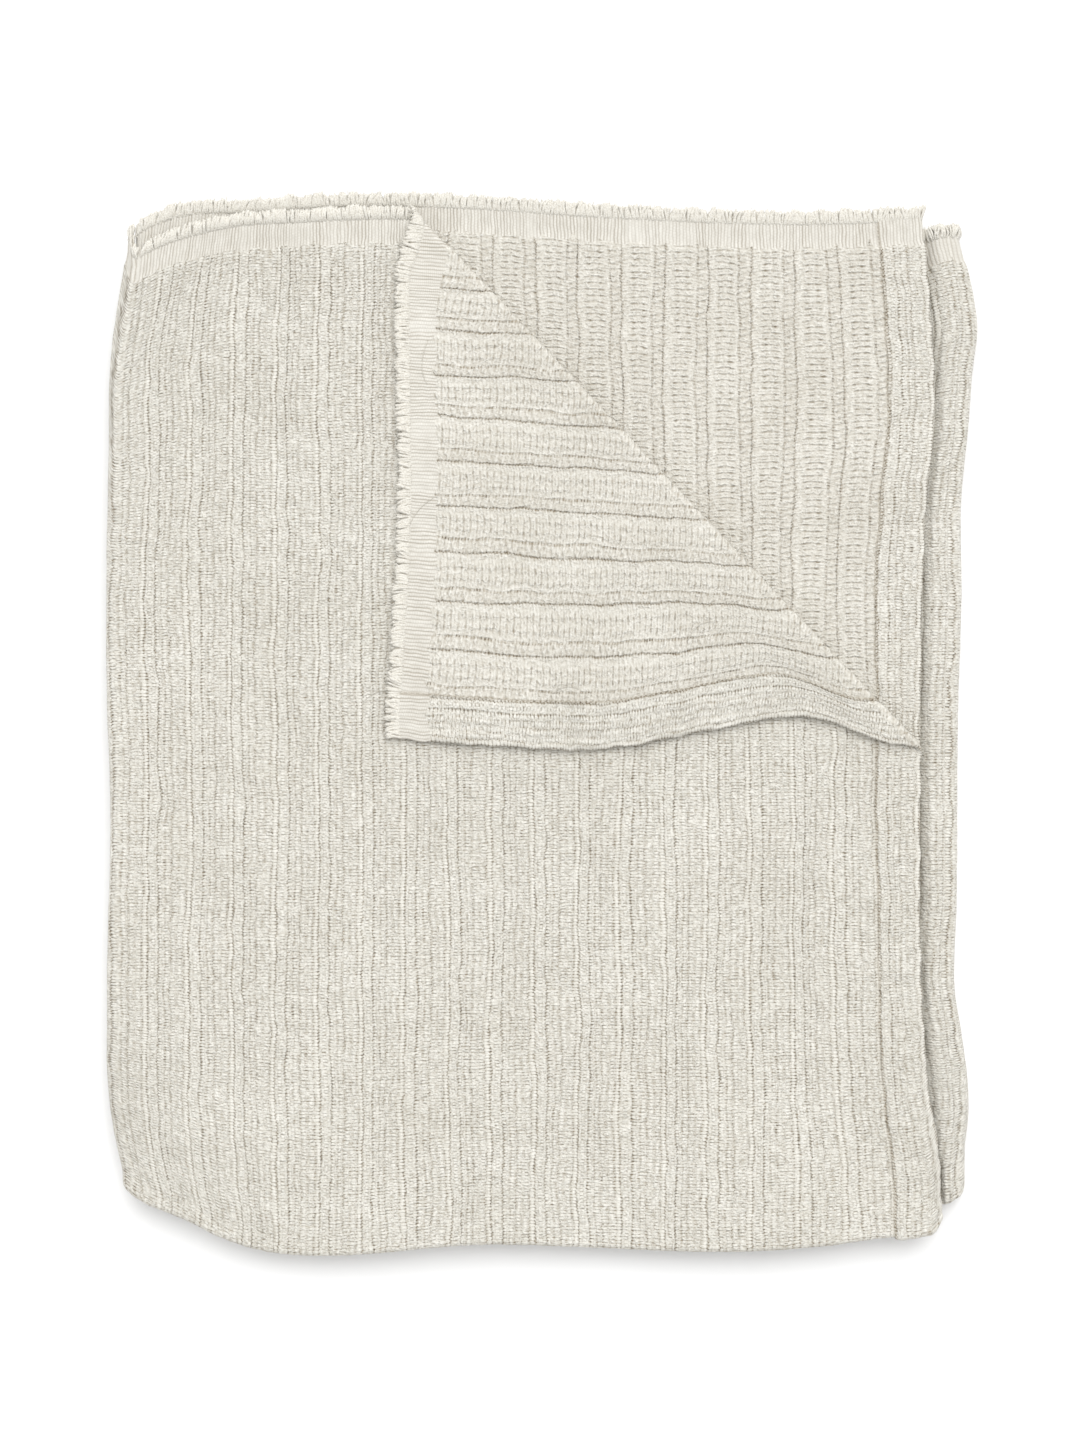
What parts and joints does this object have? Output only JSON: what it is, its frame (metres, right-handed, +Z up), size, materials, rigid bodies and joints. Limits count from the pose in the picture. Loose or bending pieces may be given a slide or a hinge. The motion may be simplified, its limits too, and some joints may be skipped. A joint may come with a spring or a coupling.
{
  "type": "folded throw blanket",
  "caption": "Flat-folded cotton throw with woven ribs, selvedge tapes with eyelash fringe, sewn end hems and one corner turned back.",
  "frame": {"origin": "centre of the base on the surface it lies on", "axes": "+Z up through the pile, +Y towards the fringed selvedge edges, +X towards the right fold beyond the top panel's hems"},
  "size_m": [0.544, 0.662, 0.034],
  "materials": {
    "ribbed_cloth": "off-white slubby cotton in a ribbed openwork weave",
    "selvedge_tape": "fine-ribbed woven edge tape, matt",
    "fringe_yarn": "short cut cotton weft ends, fluffy",
    "sewing_thread": "matt cotton sewing thread"
  },
  "bodies": {
    "base_panel": {"base_front_fold": "ribbed_cloth", "base_lower_fringe": "fringe_yarn", "base_lower_hem": "ribbed_cloth", "base_lower_leaf": "ribbed_cloth", "base_lower_selvedge": "selvedge_tape", "base_stitching": "sewing_thread", "base_upper_fringe": "fringe_yarn", "base_upper_hem": "ribbed_cloth", "base_upper_leaf": "ribbed_cloth", "base_upper_selvedge": "selvedge_tape", "right_fold_fringe": "fringe_yarn", "right_fold_inner": "ribbed_cloth", "right_fold_outer": "ribbed_cloth", "right_fold_selvedge": "selvedge_tape"},
    "middle_panel": {"left_fold_fringe": "fringe_yarn", "left_fold_inner": "ribbed_cloth", "left_fold_outer": "ribbed_cloth", "left_fold_selvedge": "selvedge_tape", "middle_front_fold": "ribbed_cloth", "middle_lower_fringe": "fringe_yarn", "middle_lower_leaf": "ribbed_cloth", "middle_lower_selvedge": "selvedge_tape", "middle_upper_fringe": "fringe_yarn", "middle_upper_leaf": "ribbed_cloth", "middle_upper_selvedge": "selvedge_tape"},
    "top_panel": {"corner_roll": "ribbed_cloth", "top_front_fold": "ribbed_cloth", "top_lower_fringe": "fringe_yarn", "top_lower_hem": "ribbed_cloth", "top_lower_leaf": "ribbed_cloth", "top_lower_selvedge": "selvedge_tape", "top_stitching": "sewing_thread", "top_upper_fringe": "fringe_yarn", "top_upper_hem": "ribbed_cloth", "top_upper_leaf": "ribbed_cloth", "top_upper_selvedge": "selvedge_tape"},
    "corner_flap": {"flap_fringe": "fringe_yarn", "flap_hem": "ribbed_cloth", "flap_leaf": "ribbed_cloth", "flap_selvedge": "selvedge_tape", "flap_stitching": "sewing_thread"}
  },
  "joints": [
    {"name": "right_fold", "type": "hinge", "parent": "base_panel", "child": "middle_panel", "pos_m": [0.2627, 0, 0.0093], "axis": [0, 1, 0], "range_deg": [0, 180], "deforming": ["right_fold_fringe", "right_fold_inner", "right_fold_outer", "right_fold_selvedge"]},
    {"name": "left_fold", "type": "hinge", "parent": "middle_panel", "child": "top_panel", "pos_m": [-0.2627, 0, 0.0193], "axis": [0, -1, 0], "range_deg": [0, 180], "deforming": ["left_fold_fringe", "left_fold_inner", "left_fold_outer", "left_fold_selvedge"]},
    {"name": "corner_fold", "type": "hinge", "parent": "top_panel", "child": "corner_flap", "pos_m": [-0.087, 0.322, 0.0293], "axis": [-0.6858, 0.7278, 0], "range_deg": [0, 180], "deforming": ["corner_roll"]}
  ]
}
